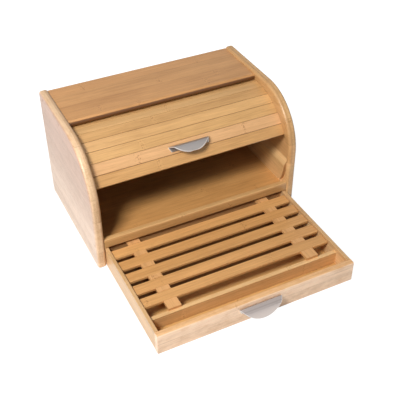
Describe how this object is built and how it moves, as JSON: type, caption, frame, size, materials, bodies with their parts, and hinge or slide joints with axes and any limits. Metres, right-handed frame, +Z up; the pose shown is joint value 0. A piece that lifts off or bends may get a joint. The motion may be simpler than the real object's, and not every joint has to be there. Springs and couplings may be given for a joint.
{
  "type": "bread box with drawer",
  "caption": "Bamboo bread box with a roll-top curtain over the bread compartment and a pull-out drawer with a slatted cutting rack, crumb space and knife compartment.",
  "frame": {"origin": "bottom centre of the whole object as it stands, with the drawer pulled out and the curtain half open", "axes": "+X to the right seen from the front, +Y from the front to the back, +Z up"},
  "size_m": [0.4, 0.495, 0.2295],
  "materials": {
    "bamboo_side": "clear satin lacquer on light laminated bamboo",
    "bamboo_top": "clear satin lacquer on carbonised bamboo",
    "bamboo_shelf": "clear satin lacquer on carbonised bamboo",
    "bamboo_curtain": "clear satin lacquer on bamboo strips",
    "bamboo_drawer": "clear satin lacquer on light bamboo",
    "bamboo_rack": "clear satin lacquer on bamboo slats",
    "canvas": "woven cotton, matt",
    "pull_metal": "brushed, satin",
    "screw_metal": "plated, satin"
  },
  "bodies": {
    "case": {"side_left": "bamboo_side", "side_right": "bamboo_side", "top_panel": "bamboo_top", "back_panel": "bamboo_top", "shelf": "bamboo_shelf", "front_rail": "bamboo_shelf", "curtain_guide_left": "bamboo_shelf", "curtain_guide_right": "bamboo_shelf", "case_pins": "screw_metal"},
    "curtain": {"curtain_slat_01": "bamboo_curtain", "curtain_slat_02": "bamboo_curtain", "curtain_slat_03": "bamboo_curtain", "curtain_slat_04": "bamboo_curtain", "curtain_slat_05": "bamboo_curtain", "curtain_slat_06": "bamboo_curtain", "curtain_slat_07": "bamboo_curtain", "curtain_slat_08": "bamboo_curtain", "curtain_slat_09": "bamboo_curtain", "curtain_slat_10": "bamboo_curtain", "curtain_slat_11": "bamboo_curtain", "curtain_slat_12": "bamboo_curtain", "curtain_canvas": "canvas", "curtain_pull": "pull_metal", "curtain_pull_screws": "screw_metal"},
    "drawer": {"drawer_front": "bamboo_drawer", "drawer_side_left": "bamboo_drawer", "drawer_side_right": "bamboo_drawer", "drawer_back": "bamboo_drawer", "drawer_floor": "bamboo_drawer", "drawer_divider": "bamboo_drawer", "rack_slat_1": "bamboo_rack", "rack_slat_2": "bamboo_rack", "rack_slat_3": "bamboo_rack", "rack_slat_4": "bamboo_rack", "rack_slat_5": "bamboo_rack", "rack_batten_left": "bamboo_rack", "rack_batten_right": "bamboo_rack", "drawer_pull": "pull_metal", "drawer_pull_screws": "screw_metal"}
  },
  "joints": [
    {"name": "curtain_roll", "type": "hinge", "parent": "case", "child": "curtain", "pos_m": [0, 0.11204, 0.1005], "axis": [1, 0, 0], "range_deg": [-46, 55.8]},
    {"name": "drawer_slide", "type": "slide", "parent": "case", "child": "drawer", "axis": [0, -1, 0], "range_m": [-0.2225, 0.012]}
  ]
}
